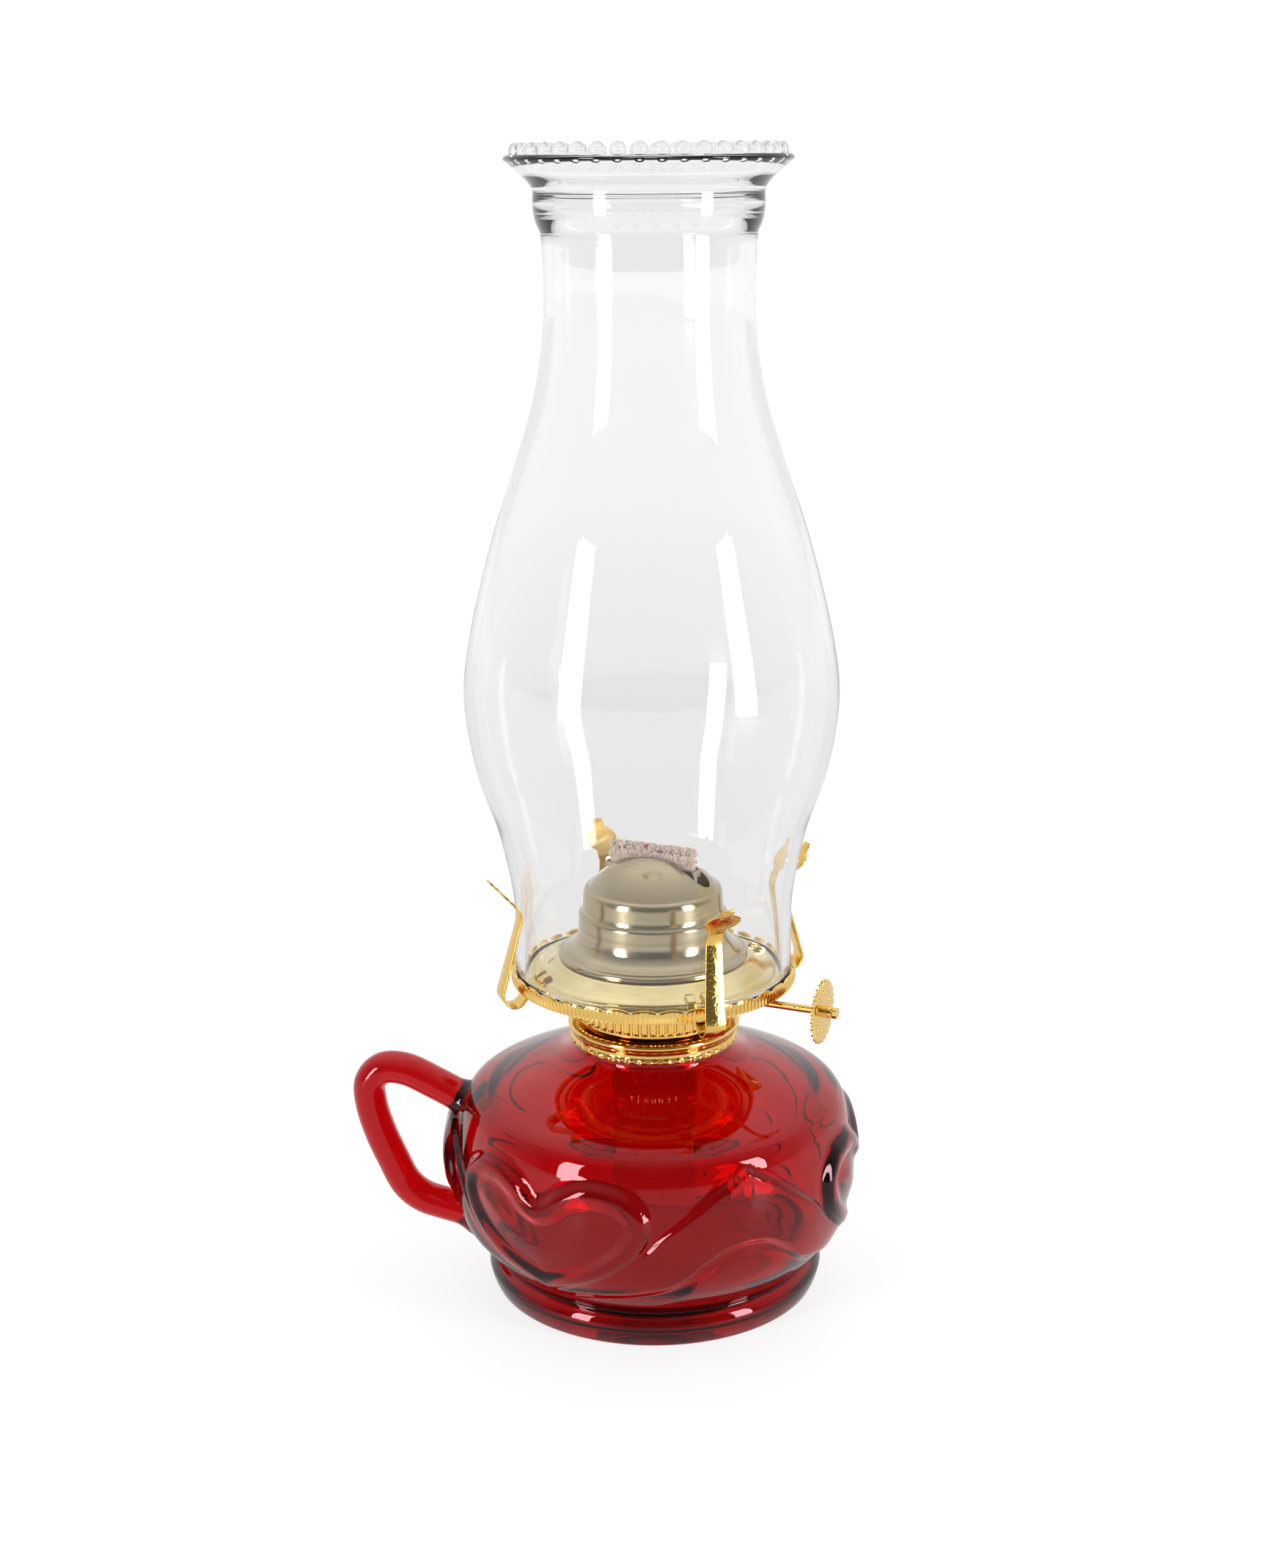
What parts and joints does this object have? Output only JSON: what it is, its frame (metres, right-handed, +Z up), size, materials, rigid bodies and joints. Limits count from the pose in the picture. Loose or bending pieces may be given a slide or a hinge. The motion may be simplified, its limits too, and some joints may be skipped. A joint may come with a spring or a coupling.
{
  "type": "oil lamp",
  "caption": "Hand-held oil lamp with a ruby glass font and ring handle, brass flat-wick burner with a wick raiser, and a clear beaded glass chimney.",
  "frame": {"origin": "centre of the glass foot's underside, on the surface that the lamp stands on", "axes": "+Z up along the lamp's axis; the ring handle points along -X; the thumb wheel is near +X, turned 20 degrees towards -Y"},
  "size_m": [0.1438, 0.1164, 0.3122],
  "materials": {
    "ruby_glass": "pressed, glossy, transparent red",
    "clear_glass": "clear, glossy",
    "gold_brass": "polished and lacquered",
    "satin_brass": "satin, pale",
    "plain_brass": "plain",
    "plaster": null,
    "cotton": "woven cotton, cut end"
  },
  "bodies": {
    "lamp": {"font": "ruby_glass", "handle": "ruby_glass", "collar_cement": "plaster", "collar": "gold_brass"},
    "burner": {"burner_base": "gold_brass", "burner_cup": "gold_brass", "air_screen": "gold_brass", "gallery": "gold_brass", "deflector": "satin_brass", "wick_tube": "satin_brass", "spur_cover": "satin_brass"},
    "raiser": {"raiser_shaft": "gold_brass", "spur_wheel_1": "plain_brass", "spur_wheel_2": "plain_brass", "spur_wheel_3": "plain_brass", "spur_wheel_4": "plain_brass", "thumb_wheel": "gold_brass", "thumb_wheel_hub": "gold_brass"},
    "wick": {"wick": "cotton"},
    "chimney": {"chimney": "clear_glass"},
    "prong_1": {"prong_1": "gold_brass"},
    "prong_2": {"prong_2": "gold_brass"},
    "prong_3": {"prong_3": "gold_brass"},
    "prong_4": {"prong_4": "gold_brass"}
  },
  "joints": [
    {"name": "burner_unscrew", "type": "hinge", "parent": "lamp", "child": "burner", "pos_m": [0, 0, 0.0785], "axis": [0, 0, 1], "range_deg": [0, 540]},
    {"name": "raiser_turn", "type": "hinge", "parent": "burner", "child": "raiser", "pos_m": [-0.00173, -0.00475, 0.088], "axis": [0.9397, -0.342, 0], "range_deg": [-150, 80]},
    {"name": "wick_slide", "type": "slide", "parent": "burner", "child": "wick", "axis": [0, 0, 1], "range_m": [-0.0094, 0.005]},
    {"name": "chimney_lift", "type": "slide", "parent": "burner", "child": "chimney", "axis": [0, 0, 1], "range_m": [0, 0.06]},
    {"name": "prong_1_flex", "type": "hinge", "parent": "burner", "child": "prong_1", "pos_m": [0.0131, -0.0281, 0.09145], "axis": [0.9063, 0.4226, 0], "range_deg": [0, 6], "stiffness_Nm_per_rad": 0.05},
    {"name": "prong_2_flex", "type": "hinge", "parent": "burner", "child": "prong_2", "pos_m": [0.0281, 0.0131, 0.09145], "axis": [-0.4226, 0.9063, 0], "range_deg": [0, 6], "stiffness_Nm_per_rad": 0.05},
    {"name": "prong_3_flex", "type": "hinge", "parent": "burner", "child": "prong_3", "pos_m": [-0.0131, 0.0281, 0.09145], "axis": [-0.9063, -0.4226, 0], "range_deg": [0, 6], "stiffness_Nm_per_rad": 0.05},
    {"name": "prong_4_flex", "type": "hinge", "parent": "burner", "child": "prong_4", "pos_m": [-0.0281, -0.0131, 0.09145], "axis": [0.4226, -0.9063, 0], "range_deg": [0, 6], "stiffness_Nm_per_rad": 0.05}
  ],
  "couplings": [
    {"joint": "raiser_turn", "follows": "wick_slide", "rad_per_m": 277.78},
    {"joint": "prong_2_flex", "follows": "prong_1_flex", "ratio": 1},
    {"joint": "prong_3_flex", "follows": "prong_1_flex", "ratio": 1},
    {"joint": "prong_4_flex", "follows": "prong_1_flex", "ratio": 1}
  ]
}
